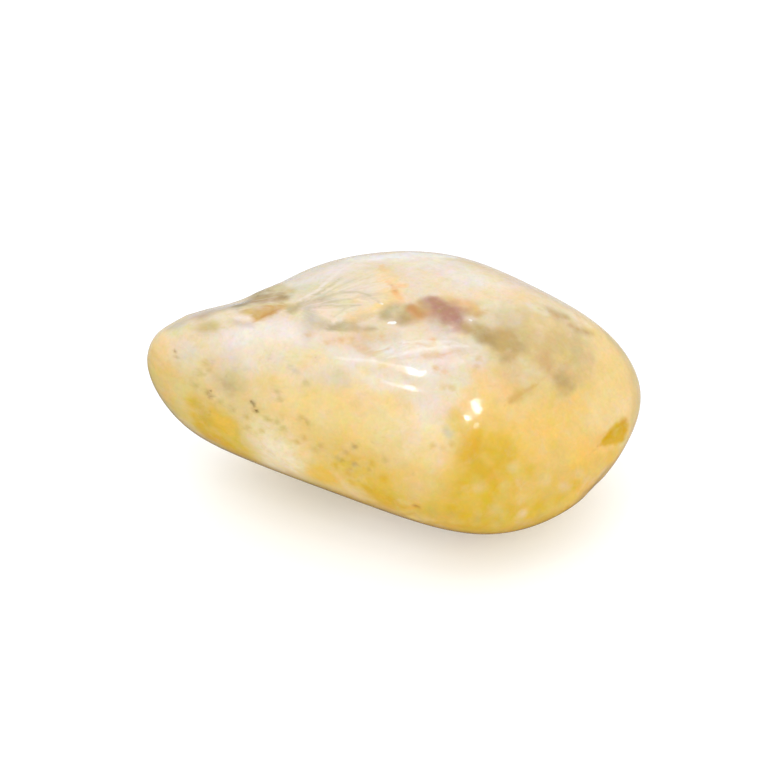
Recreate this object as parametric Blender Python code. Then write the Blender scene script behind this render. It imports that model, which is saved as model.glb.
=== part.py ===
"""A tumbled quartz pebble, 29 mm long, lying on its small flat spot.

The stone is one solid. It is built the way a tumbler makes it: a broken chip is bounded by
flat faces, each with a direction and a distance from the stone's heart, and the drum wears its
edges round. The blend of the faces is a smooth maximum, so one wear radius rounds them all.
The shallow hollow where the chip was broken concave is then pressed in, the stone is brought to
its length, and the flat spot that it rests on is cut level.

Metres, +Z up, +X along the stone from its narrow end to its broad end. The origin is under
the middle of the stone, on the surface that it lies on.
"""

import math

import bmesh
import bpy
import numpy as np
from mathutils import Vector

MM = 0.001

# Driving dimensions. The other sizes in millimetres hold for a stone of this length, and
# follow it when it changes.
LENGTH = 29.0 * MM
EDGE_WEAR = 0.78 * MM  # how far the drum has worn back each edge between two faces
FLAT_SPOT_DEPTH = 0.3 * MM  # how much of the underside is worn level
ROUNDS_OF_SUBDIVISION = 5
FARTHEST = 31.0 * MM  # no point of the chip lies farther from the heart than this

# The worn faces of the chip: where each one looks, as a compass bearing from +X towards +Y and
# a height above level, both in degrees, and how far it lies from the heart, in millimetres.
WORN_FACES = {
    "top back slope": (110, 84, 7.5),
    "crown": (-74, 70, 7.3),
    "front bevel": (-86, 40, 7.9),
    "upper right flank": (-44, 40, 8.7),
    "front left flank": (-94, 6, 8.45),
    "front right flank": (-52, 16, 9.2),
    "broad end shoulder": (-20, 48, 9.4),
    "broad end": (17, 2, 13.8),
    "broad end back": (37, 22, 12.3),
    "broad end underside": (-3, -24, 11.6),
    "back right shoulder": (65, 44, 9.1),
    "back shoulder": (107, 56, 9.5),
    "back left shoulder": (138, 53, 10.6),
    "back left rim": (136, 32, 11.6),
    "back right flank": (62, -8, 10.4),
    "back flank": (104, 0, 9.0),
    "back left flank": (140, -4, 10.6),
    "narrow end top": (177, 24, 16.9),
    "narrow end": (-163, 0, 18.3),
    "narrow end underside": (-140, -24, 14.0),
    "front left underside": (-102, -45, 7.4),
    "front underside": (-66, -50, 8.8),
    "front right underside": (-31, -42, 10.3),
    "back underside": (104, -50, 8.6),
    "underside narrow end": (-172, -72, 8.6),
    "underside broad end": (2, -68, 8.6),
    "underside": (0, -90, 7.8),
}

# The hollows: bearing and height of the middle, width and depth in millimetres.
HOLLOWS = {"saddle behind the narrow end": (-178, 27, 4.0, 1.0)}

STONE_COLOUR = (0.90, 0.72, 0.40, 1.0)


def direction(bearing, height):
    """The unit vector that looks along a compass bearing and a height, in degrees."""
    turn, tilt = math.radians(bearing), math.radians(height)
    return np.array(
        [
            math.cos(turn) * math.cos(tilt),
            math.sin(turn) * math.cos(tilt),
            math.sin(tilt),
        ]
    )


def outside(points, normals, distances):
    """How far points lie outside the worn chip: a smooth maximum over its faces."""
    beyond = (points @ normals.T - distances) / EDGE_WEAR
    highest = beyond.max(axis=1)
    blended = highest + np.log(np.exp(beyond - highest[:, None]).sum(axis=1))
    return blended * EDGE_WEAR


def reach(rays):
    """The distance from the heart to the worn surface along each ray, found by halving."""
    normals = np.array([direction(b, h) for b, h, _ in WORN_FACES.values()])
    distances = np.array([d * MM for _, _, d in WORN_FACES.values()])
    near, far = np.zeros(len(rays)), np.full(len(rays), FARTHEST)
    for _ in range(40):
        middle = (near + far) / 2
        out = outside(rays * middle[:, None], normals, distances) > 0
        far = np.where(out, middle, far)
        near = np.where(out, near, middle)
    return (near + far) / 2


def press_hollow(points, rays, bearing, height, width, depth):
    """Presses a soft round hollow into the surface, towards the heart."""
    towards = direction(bearing, height)
    middle = points[np.argmax(rays @ towards)]
    apart = np.linalg.norm(points - middle, axis=1) / (width * MM)
    return points - rays * (depth * MM * np.exp(-(apart**2)))[:, None]


def worn_mesh():
    """A fine ball whose points are moved onto the worn chip."""
    stone = bmesh.new()
    bmesh.ops.create_icosphere(stone, subdivisions=ROUNDS_OF_SUBDIVISION, radius=1.0)
    rays = np.array([v.co for v in stone.verts]) * (1.7, 1.15, 0.9)
    rays /= np.linalg.norm(rays, axis=1)[:, None]
    points = rays * reach(rays)[:, None]
    for hollow in HOLLOWS.values():
        points = press_hollow(points, rays, *hollow)
    for vertex, point in zip(stone.verts, points):
        vertex.co = Vector(point)
    return stone


def bring_to_length(stone):
    xs = [v.co.x for v in stone.verts]
    size = LENGTH / (max(xs) - min(xs))
    bmesh.ops.scale(stone, verts=stone.verts, vec=(size, size, size))


def cut_flat_spot(stone):
    """Cuts the underside level, closes the cut with one flat face and sets the origin."""
    lowest = min(v.co.z for v in stone.verts)
    level = Vector((0, 0, lowest + FLAT_SPOT_DEPTH))
    bmesh.ops.bisect_plane(
        stone,
        geom=[*stone.verts, *stone.edges, *stone.faces],
        dist=1e-7,
        plane_co=level,
        plane_no=(0, 0, -1),
        clear_outer=True,
    )
    rim = [e for e in stone.edges if e.is_boundary]
    bmesh.ops.contextual_create(stone, geom=rim)
    xs, ys = [v.co.x for v in stone.verts], [v.co.y for v in stone.verts]
    middle = Vector(((min(xs) + max(xs)) / 2, (min(ys) + max(ys)) / 2, level.z))
    bmesh.ops.translate(stone, verts=stone.verts, vec=-middle)


def stone_material():
    material = bpy.data.materials.new("honey quartz")
    material.use_nodes = True
    shader = material.node_tree.nodes["Principled BSDF"]
    shader.inputs["Base Color"].default_value = STONE_COLOUR
    shader.inputs["Roughness"].default_value = 0.12
    shader.inputs["Metallic"].default_value = 0.0
    return material


def make_stone():
    stone = worn_mesh()
    bring_to_length(stone)
    cut_flat_spot(stone)
    bmesh.ops.recalc_face_normals(stone, faces=stone.faces)
    mesh = bpy.data.meshes.new("stone")
    stone.to_mesh(mesh)
    stone.free()
    mesh.shade_smooth()
    mesh.set_sharp_from_angle(angle=math.radians(35))
    mesh.materials.append(stone_material())
    made = bpy.data.objects.new("stone", mesh)
    bpy.context.scene.collection.objects.link(made)
    return made


def main():
    for old in list(bpy.data.objects):
        bpy.data.objects.remove(old)
    make_stone()


main()
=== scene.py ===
"""A tumbled quartz pebble, milky and honey yellow, on a pale floor in soft studio light.

Places on the side that the photograph shows are the photograph's pixels, across and down. The
other places are given as a globe's are: a compass bearing from +X towards +Y and a height above
level, both in degrees, seen from the stone's heart.
"""

import math

import bmesh
import bpy
import numpy as np
from bpy.props import (
    FloatProperty,
    FloatVectorProperty,
    IntProperty,
    PointerProperty,
)
from bpy.types import Operator, Panel, PropertyGroup
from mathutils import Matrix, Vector, noise
from mathutils.bvhtree import BVHTree


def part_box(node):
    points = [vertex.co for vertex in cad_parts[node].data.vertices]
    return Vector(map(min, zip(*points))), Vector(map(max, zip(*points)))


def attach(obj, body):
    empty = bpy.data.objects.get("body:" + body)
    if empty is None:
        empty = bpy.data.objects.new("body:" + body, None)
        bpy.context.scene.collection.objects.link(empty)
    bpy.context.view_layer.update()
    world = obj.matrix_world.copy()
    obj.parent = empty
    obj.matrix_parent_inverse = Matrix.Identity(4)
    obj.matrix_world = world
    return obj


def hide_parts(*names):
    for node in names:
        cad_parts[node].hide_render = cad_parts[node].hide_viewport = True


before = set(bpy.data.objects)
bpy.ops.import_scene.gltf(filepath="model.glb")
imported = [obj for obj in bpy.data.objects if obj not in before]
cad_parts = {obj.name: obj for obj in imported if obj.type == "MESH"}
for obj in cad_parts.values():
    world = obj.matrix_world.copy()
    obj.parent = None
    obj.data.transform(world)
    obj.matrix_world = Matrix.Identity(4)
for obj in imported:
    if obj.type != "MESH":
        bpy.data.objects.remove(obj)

bl_info = {
    "name": "Honey Quartz Pebble",
    "version": (1, 0, 0),
    "blender": (4, 5, 0),
    "location": "3D View > Sidebar > Pebble",
    "description": "Makes a tumbled quartz pebble, its milky honey finish and a small studio",
    "category": "Object",
}

MM = 0.001
HEART = Vector((1.9, -0.6, 7.2)) * MM
FINISH_NAME = "Honey quartz"
TINY = 0.001 * MM  # too short to tell from nought

# The photograph's view of the stone.
PHOTO_SIZE = 768
PHOTO_MIDDLE = (395, 395)
VIEW_BEARING = -73.0
VIEW_HEIGHT = 40.0
VIEW_DISTANCE = 110.97 * MM
VIEW_AIM = (-0.92 * MM, -0.88 * MM, 7.89 * MM)
VIEW_LENS = 85.0
SENSOR = 36.0
NEAR_CLIP = 5 * MM
# A pixel just beyond the stone's outline is pulled towards PHOTO_MIDDLE until it meets the
# stone: how often at most, and by what share of its way each time.
PULLS = 12
PULL = 0.005

# A mark in the stone has how it is laid, its colour, its strength from 0 to 1, its width in
# millimetres, the softness of its edge, and the places that it runs through. Haze and clouds have
# ragged edges, and plain areas, wedges and dabs hardly do. A wedge widens as it runs. Dabs are
# soft and dots are crisp, and both lie one at each place. The edge of a crisp line or dot is in
# millimetres, and the other edges are in half widths. Strands and specks say where the material's
# own fine strands and faint specks show.
# These marks are in the photograph, and their places are its pixels, across and down.
# Some of these marks are painted light: sheen on the bevel, glints, a reflection on the top rim and shade
# along the lower outline.
SEEN_MARKS = {
    # Large soft areas first, because later marks lie over earlier ones.
    "pale honey on the front": ("haze", "pale honey", 0.85, 5.6, 1.6, (290, 395), (350, 415), (400, 425)),
    "pale honey at the end": ("haze", "pale honey", 0.85, 4.6, 1.6, (605, 345), (622, 390), (610, 420)),
    "amber on the right": ("haze", "amber", 0.55, 4.0, 1.6, (500, 400), (520, 440), (560, 435)),
    "soft gold low on the right": ("haze", "soft gold", 0.8, 3.8, 1.6, (450, 495), (515, 508), (565, 490)),
    # Partly the quartz's olive gold, partly painted shade along the bottom.
    "olive gold and painted shade along the bottom": ("haze", "gold", 0.6, 2.4, 1.6, (420, 508), (470, 518), (530, 516)),
    "yellow on the front": ("haze", "soft gold", 0.6, 3.4, 1.6, (300, 455), (350, 455), (395, 470)),
    "gold on the front": ("haze", "gold", 0.6, 2.6, 1.6, (345, 462), (365, 482), (400, 500)),
    "gold below the corner": ("haze", "gold", 1.0, 3.9, 1.5, (472, 450), (488, 466), (500, 474)),
    "gold left of that": ("haze", "gold", 0.45, 2.0, 1.7, (448, 462), (452, 492)),
    "deep gold below the corner": ("haze", "deep gold", 0.6, 2.2, 1.7, (468, 448), (484, 460), (494, 474)),
    "amber in that gold": ("clouds", "amber", 0.5, 0.9, 1.7, (484, 456), (490, 462)),
    "yellow by the wedge": ("haze", "amber", 0.8, 2.0, 1.7, (576, 464), (592, 452), (604, 444)),
    "soft gold on the lower right edge": ("haze", "amber", 0.8, 2.0, 1.6, (570, 504), (596, 484), (616, 457)),
    "tan on the right edge": ("haze", "tan", 0.6, 1.4, 1.7, (606, 333), (630, 358), (640, 392), (634, 424)),
    "soft gold round the tip": ("haze", "soft gold", 0.5, 1.9, 1.7, (153, 350), (156, 380), (185, 415)),
    "gold on the lower edge of the tip": ("haze", "soft gold", 0.25, 1.8, 1.6,
        (164, 398), (180, 414), (202, 430)),
    "gold below the tip": ("haze", "gold", 0.85, 1.8, 1.9, (194, 404), (209, 417), (230, 428)),
    "gold down to the outline": ("haze", "gold", 0.85, 2.2, 1.7, (200, 424), (222, 436), (246, 450)),
    # Deeper gold on the lower outline: partly the quartz's colour, partly painted shade.
    "deep gold and painted shade on the outline": ("haze", "deep gold", 0.6, 1.4, 1.6, (210, 437), (230, 448), (252, 459)),
    "amber in the deep gold": ("clouds", "amber", 0.7, 0.9, 1.7, (214, 416), (228, 426), (230, 433)),
    "olive in the gold": ("clouds", "olive", 0.35, 0.8, 1.7, (196, 404), (204, 414), (212, 426)),
    "cream at the lower left": ("haze", "light cream", 0.95, 2.8, 2.0, (264, 441), (277, 449), (292, 466)),
    "cream fan": ("haze", "light cream", 0.6, 2.6, 1.8, (432, 392), (430, 430), (432, 450)),
    "milk at the head of the fan": ("haze", "milk", 0.7, 1.9, 1.8, (424, 394), (437, 412)),
    "foot of the fan": ("haze", "pale honey", 0.7, 2.4, 1.8, (425, 455), (430, 485)),
    "cream in the front": ("haze", "cream", 0.4, 2.4, 1.8, (380, 430), (400, 450)),
    "amber at the foot": ("clouds", "amber", 1.0, 1.5, 1.6, (312, 473), (336, 480)),
    "gold in that amber": ("haze", "gold", 0.4, 1.4, 1.8, (318, 470), (338, 480)),
    "cream below the bevel": ("haze", "cream", 0.7, 1.8, 1.8, (296, 358), (326, 358), (350, 368)),
    "tan on the right": ("haze", "tan", 0.85, 4.4, 1.5, (500, 346), (540, 352), (572, 366)),
    "tan above it": ("haze", "tan", 0.65, 3.4, 1.7, (525, 318), (575, 345)),
    "clear bevel": ("haze", "clear", 0.95, 3.2, 1.0, (272, 292), (305, 278), (345, 264)),
    "green in the clear": ("clouds", "pale green", 0.8, 1.2, 1.7, (295, 291), (312, 286)),
    "pale top": ("haze", "white haze", 0.75, 3.2, 1.5, (415, 262), (460, 274), (492, 286)),
    # A painted reflection: the sky's light on the top rim, painted near white.
    "painted reflection on the top rim": ("haze", "glint", 0.75, 1.4, 1.5, (352, 259), (410, 254), (450, 257)),
    "honey on the shoulder": ("haze", "light amber", 0.4, 1.6, 1.7, (480, 292), (530, 298)),
    "mist beyond the plum": ("haze", "mist", 0.6, 2.0, 1.7, (482, 314), (512, 320)),
    "ground of the fracture": ("haze", "veil", 0.9, 4.2, 1.2, (322, 312), (352, 290), (384, 276)),
    "white above the fracture": ("haze", "white haze", 0.6, 1.4, 1.7, (318, 276), (340, 268), (362, 264)),
    # Partly milky quartz, partly painted sheen: the soft overhead light's reflection on the bevel, painted
    # into the colour.
    "milk and painted sheen over the narrow end": ("haze", "milk", 0.95, 2.5, 1.5, (225, 338), (265, 336), (310, 340)),
    "white heart of milk and painted sheen": ("haze", "white haze", 0.9, 1.7, 1.6, (232, 336), (262, 334), (296, 334)),
    "milk towards the tip": ("haze", "milk", 0.45, 1.5, 1.8, (186, 354), (215, 350)),
    "cream under the milk": ("haze", "cream", 0.7, 1.3, 1.7, (245, 354), (285, 350)),
    # Partly milky quartz, partly painted sheen of the overhead light along the crest and round the
    # highlights.
    "milk and painted sheen along the crest": ("haze", "milk", 0.95, 2.9, 1.4, (335, 350), (400, 347), (450, 350), (472, 352)),
    "milk and painted sheen below the crest": ("haze", "milk", 0.8, 1.9, 1.6, (375, 372), (420, 380), (462, 376)),
    "first band of white milk and painted sheen": ("clouds", "white haze", 0.8, 1.0, 1.7, (385, 348), (420, 347), (445, 349)),
    "white by the end of the milk": ("dabs", "white haze", 0.7, 0.7, 1.7, (474, 331), (480, 345), (462, 361)),
    "shade in the end of the milk": ("haze", "mist", 0.5, 0.9, 1.8, (456, 341), (472, 347)),
    # These white bands are partly painted sheen of the overhead light, over milky quartz.
    "second band of white milk and painted sheen": ("clouds", "white haze", 0.7, 0.8, 1.7, (342, 361), (374, 362)),
    "third band of white milk and painted sheen": ("clouds", "white haze", 0.6, 0.8, 1.7, (405, 364), (455, 362)),
    "fourth band of white milk and painted sheen": ("haze", "white haze", 0.7, 1.1, 1.8, (356, 372), (380, 380), (402, 384)),
    "mist in the milk": ("haze", "mist", 0.55, 1.5, 1.8, (368, 332), (390, 338)),
    "mist under the bevel": ("haze", "mist", 0.75, 1.4, 1.9, (324, 374), (344, 380)),
    "veil beside that mist": ("haze", "milk", 0.5, 1.8, 1.9, (282, 365), (304, 368), (326, 370)),
    # The tip.
    "gold in the tip": ("haze", "soft gold", 0.4, 1.4, 1.8, (158, 362), (170, 376)),
    "amber on the tip": ("haze", "light amber", 0.6, 1.2, 1.8, (160, 336), (161, 354)),
    "lime by the tip": ("clouds", "lime", 0.7, 0.8, 1.6, (175, 333), (186, 327)),
    "olive patch": ("haze", "olive", 0.9, 1.3, 1.7, (202, 329), (212, 327)),
    "shade on the skyline": ("haze", "lilac grey", 0.8, 1.5, 1.5,
        (172, 325), (184, 317), (210, 308), (240, 301)),
    "tint of the skyline": ("haze", "umber", 0.45, 1.0, 1.7, (194, 315), (215, 309), (238, 304)),
    # The saddle.
    "khaki of the saddle": ("haze", "olive", 0.9, 1.5, 1.5, (254, 296), (270, 290), (290, 291)),
    "skyline of the saddle": ("haze", "olive brown", 0.65, 1.2, 1.5, (236, 306), (248, 300), (264, 292)),
    "olive of the saddle": ("haze", "olive brown", 0.8, 1.4, 1.5, (242, 304), (254, 301), (266, 297)),
    "umber of the saddle": ("clouds", "umber", 0.9, 1.4, 1.5, (256, 300), (270, 297), (283, 298)),
    "brown dabs in the saddle": ("dabs", "olive brown", 0.5, 0.6, 1.7,
        (262, 293), (270, 292), (278, 294), (256, 297), (248, 301), (284, 297), (266, 298)),
    "grey under the seam": ("clouds", "lilac grey", 0.7, 0.6, 1.6, (227, 321), (241, 322), (250, 325)),
    "ochre wedge": ("clouds", "ochre", 1.0, 1.1, 1.3, (244, 311), (262, 310), (280, 307)),
    "ochre wedge below": ("clouds", "ochre", 1.0, 0.8, 1.3, (256, 318), (266, 313), (278, 308)),
    "rust edge of the wedge": ("clouds", "rust", 0.6, 0.32, 1.5, (262, 317), (270, 314), (279, 309)),
    "ochre trail": ("clouds", "ochre", 0.5, 0.6, 1.7, (280, 306), (292, 305)),
    "pale seam": ("crisp", "lime", 0.5, 0.34, 0.14, (238, 309), (250, 306), (262, 304), (284, 304)),
    "second pale seam": ("crisp", "cream", 0.45, 0.3, 0.14, (222, 314), (238, 310), (250, 308)),
    "dark streak in the saddle": ("crisp", "olive brown", 0.5, 0.34, 0.22,
        (228, 309), (246, 302), (262, 294)),
    "green streak in the saddle": ("crisp", "pale green", 0.5, 0.30, 0.2, (248, 302), (262, 299), (280, 297)),
    "brown streak in the saddle": ("crisp", "umber", 0.5, 0.32, 0.2, (264, 296), (276, 293), (288, 294)),
    "brown edge of the ochre": ("crisp", "rust", 0.5, 0.34, 0.22, (254, 319), (264, 316), (276, 310)),
    "pale streak by the wedge": ("clouds", "white haze", 0.9, 0.5, 1.5, (238, 318), (249, 319)),
    "knot": ("clouds", "dark olive", 0.65, 0.8, 1.4, (290, 311), (294, 308), (298, 305)),
    # The healed fracture.
    "strands of the fracture": ("strands", "white haze", 0.5, 3.4, 0.8, (322, 306), (350, 293), (382, 284)),
    "strands below them": ("strands", "white haze", 0.35, 1.8, 0.8, (322, 318), (350, 314), (372, 310)),
    "strands in the saddle": ("strands", "white haze", 0.5, 1.0, 0.8, (250, 306), (280, 304)),
    "lilac under the arcs": ("clouds", "lilac grey", 0.75, 0.9, 1.6, (304, 305), (318, 303), (334, 301)),
    "rose in the arcs": ("clouds", "mauve", 0.4, 0.4, 1.6, (315, 300), (322, 299)),
    "hollow": ("clouds", "lilac grey", 0.95, 0.85, 1.5, (307, 309), (311, 317), (320, 324), (330, 327)),
    "lower hollow": ("clouds", "lilac grey", 0.4, 0.8, 1.8, (304, 322), (308, 336)),
    "cream in the arcs": ("clouds", "cream", 0.8, 1.0, 1.6, (322, 312), (334, 312)),
    "lime in the arcs": ("clouds", "lime", 0.45, 0.5, 1.6, (342, 303), (356, 302)),
    "grey line": ("crisp", "grey", 0.8, 0.42, 0.26, (312, 296), (322, 291), (332, 285), (342, 277)),
    "green line": ("crisp", "pale green", 0.9, 0.30, 0.14, (310, 299), (321, 295), (331, 291)),
    "first arc": ("crisp", "grey", 0.75, 0.52, 0.30,
        (300, 303), (316, 300), (328, 296), (340, 292), (356, 292), (370, 296)),
    "first arc's end": ("crisp", "grey", 0.6, 0.42, 0.28, (366, 295), (376, 300), (382, 304)),
    "light under the first arc": ("crisp", "cream", 0.8, 0.34, 0.18, (338, 297), (352, 297), (368, 302)),
    "second arc": ("crisp", "grey", 0.7, 0.34, 0.20, (308, 309), (322, 306), (340, 306), (362, 305)),
    "third arc": ("crisp", "grey", 0.55, 0.32, 0.20, (330, 322), (337, 314), (346, 308), (358, 305)),
    "pale line": ("crisp", "white haze", 0.85, 0.50, 0.24,
        (298, 301), (308, 296), (319, 289), (329, 280), (340, 270), (354, 263), (368, 260)),
    "bright part of the line": ("crisp", "glint", 0.6, 0.55, 0.30, (320, 288), (330, 279), (337, 273)),
    "sliver": ("plain", "dark olive", 0.6, 0.5, 1.3, (328, 329), (334, 327), (341, 324)),
    "sliver's tail": ("clouds", "grey brown", 0.95, 0.65, 1.6, (340, 324), (354, 320), (372, 314)),
    "tan over the tail": ("clouds", "light amber", 0.8, 0.9, 1.7, (350, 318), (368, 312), (384, 306)),
    "shade under the sliver": ("clouds", "grey brown", 0.8, 0.5, 1.6, (338, 329), (356, 328), (374, 328)),
    # A painted highlight: a glint of light over the sliver, painted white.
    "painted glint over the sliver": ("clouds", "white haze", 0.95, 0.55, 1.4, (334, 322), (338, 318), (343, 314)),
    # The stains and the plum.
    "yellow round the stains": ("haze", "light amber", 0.75, 1.5, 1.6, (384, 272), (391, 288), (397, 300)),
    "yellow towards the veil": ("clouds", "light amber", 0.7, 0.9, 1.7, (380, 304), (396, 304)),
    "top stain": ("clouds", "orange", 0.5, 0.55, 1.6, (381, 266), (384, 270)),
    "middle stain": ("clouds", "orange", 0.75, 0.5, 1.6, (388, 282), (393, 286)),
    "strong stain": ("clouds", "orange", 1.0, 0.7, 1.4, (394, 289), (396, 293)),
    "heart of the stain": ("dabs", "rust", 0.5, 0.4, 1.6, (395, 291), (391, 285)),
    "low stain": ("clouds", "orange", 0.6, 0.7, 1.7, (398, 297), (402, 301)),
    "stain to the right": ("clouds", "orange", 0.5, 0.6, 1.7, (398, 286), (404, 286)),
    "cloud before the rust": ("haze", "grey brown", 1.0, 1.4, 1.6, (386, 315), (396, 312), (408, 317)),
    "umber under the cloud": ("clouds", "umber", 0.4, 0.7, 1.6, (400, 321), (418, 320)),
    "brown round the rust": ("plain", "brown", 0.8, 1.4, 1.5, (412, 309), (422, 311), (432, 312)),
    "brown over the rust": ("plain", "brown", 0.8, 0.9, 1.5, (421, 303), (433, 302)),
    "rust": ("plain", "rust", 0.9, 1.0, 1.6, (412, 308), (420, 314)),
    "umber under the plum": ("clouds", "mist", 0.7, 1.0, 1.7, (430, 322), (446, 330)),
    "orange beyond the plum": ("haze", "ochre", 0.6, 1.2, 1.7, (446, 299), (462, 304), (480, 312)),
    "orange in that ochre": ("clouds", "orange", 0.4, 0.7, 1.7, (450, 299), (464, 304), (476, 309)),
    "brown beyond the plum": ("clouds", "brown", 0.7, 0.7, 1.6, (460, 309), (476, 314)),
    "edge of the plum": ("haze", "mauve", 0.85, 1.6, 1.5, (430, 303), (446, 312), (462, 322)),
    "plum": ("plain", "plum", 0.95, 1.1, 1.4, (434, 301), (444, 308), (458, 319)),
    "low plum": ("clouds", "plum", 0.85, 0.8, 1.5, (447, 320), (461, 322)),
    "brown in the plum": ("dabs", "umber", 0.45, 0.5, 1.7,
        (432, 300), (438, 304), (445, 308), (452, 313), (440, 311)),
    "mauve tail": ("clouds", "mauve", 1.0, 1.0, 1.5, (458, 328), (465, 332)),
    "shade after the plum": ("haze", "smoke", 1.0, 1.0, 1.6, (466, 325), (484, 334), (496, 341)),
    "umber in the tan": ("haze", "umber", 0.7, 1.1, 1.7, (480, 334), (494, 343)),
    # The tan and the right end.
    "smoke in the tan": ("haze", "smoke", 0.95, 1.4, 1.6, (502, 336), (511, 345), (504, 355)),
    "smoke at the crack": ("haze", "smoke", 0.8, 1.2, 1.7, (558, 378), (568, 386)),
    "brown dab in the tan": ("clouds", "brown", 0.45, 0.8, 1.8, (546, 355), (548, 366)),
    "pale grey in the tan": ("clouds", "veil", 0.5, 0.8, 1.8, (520, 360), (538, 374)),
    "first pale fleck": ("clouds", "veil", 0.9, 0.8, 1.5, (484, 307), (496, 303)),
    "second pale fleck": ("clouds", "veil", 0.9, 0.7, 1.5, (529, 304), (546, 314)),
    "light over the brown flecks": ("clouds", "cream", 0.6, 0.6, 1.7, (566, 310), (592, 328)),
    "first brown streak": ("haze", "smoke", 0.5, 0.7, 1.8, (547, 308), (558, 315), (567, 318)),
    "second brown streak": ("haze", "smoke", 0.5, 0.6, 1.8, (569, 325), (579, 329), (592, 334)),
    "brown dabs on the shoulder": ("dabs", "brown", 0.6, 0.42, 1.7,
        (550, 311), (554, 314), (558, 316), (565, 317), (571, 326), (578, 329), (586, 331), (540, 309)),
    "shade round the crack": ("haze", "ochre", 0.55, 0.7, 1.7, (512, 400), (522, 393), (534, 387)),
    "crack": ("crisp", "ochre", 0.6, 0.45, 0.3, (505, 406), (512, 401), (520, 394), (533, 387), (539, 383)),
    "wedge": ("wedge", "deep gold", 1.0, 1.5, 0.6, (599, 446), (611, 439), (622, 431)),
    "orange in the wedge": ("dabs", "rust", 0.3, 0.5, 1.6, (622, 422), (626, 420), (614, 433)),
    "light in the wedge": ("dabs", "light amber", 0.5, 0.3, 1.6, (618, 430)),
    "wedge's lower edge": ("crisp", "ochre", 0.9, 0.30, 0.16, (598, 447), (608, 443), (622, 437)),
    "wedge's tail": ("crisp", "brown", 0.4, 0.30, 0.22, (589, 455), (596, 449), (603, 444)),
    "red dot by the wedge": ("dots", "rust", 0.8, 0.46, 0.2, (598, 446)),
    # The milk's wisps, and the marks lower down.
    "strands in the milk": ("strands", "white haze", 0.3, 1.8, 0.9, (375, 350), (420, 352), (474, 352)),
    "first wisp": ("clouds", "peach", 0.7, 0.55, 1.7, (350, 344), (361, 349), (373, 353)),
    "second wisp": ("crisp", "peach", 0.7, 0.32, 0.2, (373, 353), (385, 350), (396, 344)),
    "third wisp": ("clouds", "peach", 0.6, 0.5, 1.6, (424, 356), (442, 355)),
    "fourth wisp": ("crisp", "peach", 0.6, 0.30, 0.2, (438, 355), (448, 353), (460, 351)),
    "first white strand": ("crisp", "glint", 0.45, 0.42, 0.26,
        (386, 358), (410, 352), (436, 347), (470, 346)),
    "second white strand": ("crisp", "glint", 0.4, 0.40, 0.26,
        (396, 344), (420, 341), (450, 342), (468, 346)),
    "third white strand": ("crisp", "glint", 0.45, 0.40, 0.26, (334, 357), (352, 360), (376, 361)),
    "peach strand": ("crisp", "peach", 0.4, 0.36, 0.22, (398, 343), (414, 344), (432, 345)),
    "peach dabs": ("dabs", "peach", 0.9, 0.6, 1.7,
        (328, 342), (352, 340), (433, 340), (436, 368), (444, 372), (309, 335), (382, 337), (341, 340)),
    "brown haze over the wisp": ("haze", "peach", 0.5, 0.9, 1.8, (336, 342), (356, 338), (372, 338)),
    "ochre by the milk": ("dabs", "ochre", 0.5, 0.6, 1.7, (444, 387), (452, 388), (478, 358), (477, 367)),
    "gold by the corner": ("haze", "gold", 0.6, 1.0, 1.7, (455, 412), (458, 428)),
    "mist by the corner": ("clouds", "mist", 0.8, 0.7, 1.7, (446, 430), (450, 434)),
    "ochre below the corner": ("dabs", "ochre", 0.5, 0.6, 1.7, (433, 446), (443, 448), (452, 444)),
    "gold dabs on the front": ("dabs", "deep gold", 0.6, 0.7, 1.7,
        (345, 453), (340, 462), (349, 473), (352, 483), (372, 464), (384, 479), (390, 498), (335, 466)),
    "olive dabs on the front": ("dabs", "olive", 0.6, 0.6, 1.7, (354, 447), (354, 465), (385, 460)),
    "brown dabs on the front": ("dabs", "umber", 0.5, 0.5, 1.7,
        (346, 453), (342, 461), (355, 464), (350, 470), (355, 446), (338, 458)),
    "pale streak at the foot": ("clouds", "pale honey", 0.7, 0.6, 1.7, (336, 474), (348, 488), (359, 497)),
    "deep gold at the foot": ("clouds", "deep gold", 0.6, 1.0, 1.7, (366, 488), (384, 500), (404, 508)),
    # Partly the quartz's gold, partly painted shade along the lower outline.
    "gold and painted shade along the foot": ("haze", "deep gold", 0.45, 1.1, 1.5, (322, 489), (360, 501), (408, 514)),
    "gold and painted shade along the bottom": ("haze", "deep gold", 0.55, 1.2, 1.5,
        (430, 523), (480, 532), (530, 527), (566, 509)),
    "olive mottles along the bottom": ("dabs", "olive", 0.35, 1.0, 1.8,
        (432, 510), (452, 514), (476, 520), (498, 522), (520, 524), (540, 517)),
    "brown spot": ("dabs", "rust", 0.8, 0.7, 1.6, (416, 507)),
    "pocks on the right": ("dabs", "cream", 0.35, 1.0, 1.8, (513, 467), (504, 485), (563, 487), (579, 473)),
    "wide pocks": ("dabs", "cream", 0.3, 1.2, 1.8, (545, 480), (496, 510), (480, 488)),
    "pale pock low down": ("dabs", "cream", 0.6, 0.9, 1.8, (523, 513)),
    "gold low on the right": ("dabs", "gold", 0.6, 1.2, 1.8,
        (487, 497), (497, 515), (560, 497), (576, 484), (452, 508), (540, 505), (530, 470), (466, 516)),
    "yellow dabs on the right": ("dabs", "gold", 0.3, 1.0, 1.8,
        (515, 443), (532, 452), (556, 446), (466, 430)),
    # The specks.
    "olive above the specks": ("haze", "olive", 0.5, 1.4, 1.8, (218, 376), (238, 386)),
    "smudge": ("haze", "smoke", 0.5, 0.7, 1.8, (226, 384), (231, 390), (231, 395)),
    "olive dabs on the left": ("dabs", "olive", 0.8, 0.6, 1.7,
        (205, 363), (209, 369), (199, 373), (277, 391), (280, 399), (220, 402), (196, 386),
        (267, 419), (277, 422), (301, 418), (308, 423), (232, 410), (283, 428), (306, 383)),
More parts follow.
